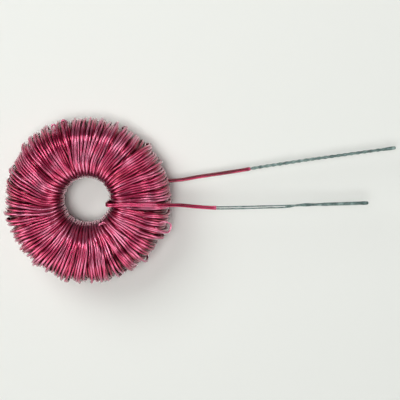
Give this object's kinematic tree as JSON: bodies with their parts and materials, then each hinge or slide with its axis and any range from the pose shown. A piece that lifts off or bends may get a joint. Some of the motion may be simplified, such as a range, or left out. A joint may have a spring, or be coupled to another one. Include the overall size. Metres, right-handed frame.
{
  "type": "toroidal inductor",
  "caption": "Ring-core inductor, fully wound with a pair of parallel enamelled wires, with both ends of the pair brought out to one side as long tinned leads.",
  "frame": {"origin": "centre of the ring, on its axis and halfway up the winding", "axes": "+Z along the ring's axis, up from the surface it lies on; +X towards the lead tips; +Y across, on the start lead's side"},
  "size_m": [0.0939, 0.04, 0.0181],
  "materials": {
    "wire_enamel": "glossy translucent pink-red enamel over copper",
    "tinned_copper": "dull grey solder tinning, slightly uneven",
    "pressed_powder": "matt pressed powder"
  },
  "bodies": {
    "root": {"core": "pressed_powder", "winding": "wire_enamel", "start_lead_a": "wire_enamel", "start_lead_b": "wire_enamel", "finish_lead_a": "wire_enamel", "finish_lead_b": "wire_enamel", "start_lead_tip": "tinned_copper", "finish_lead_tip": "tinned_copper"}
  },
  "joints": []
}
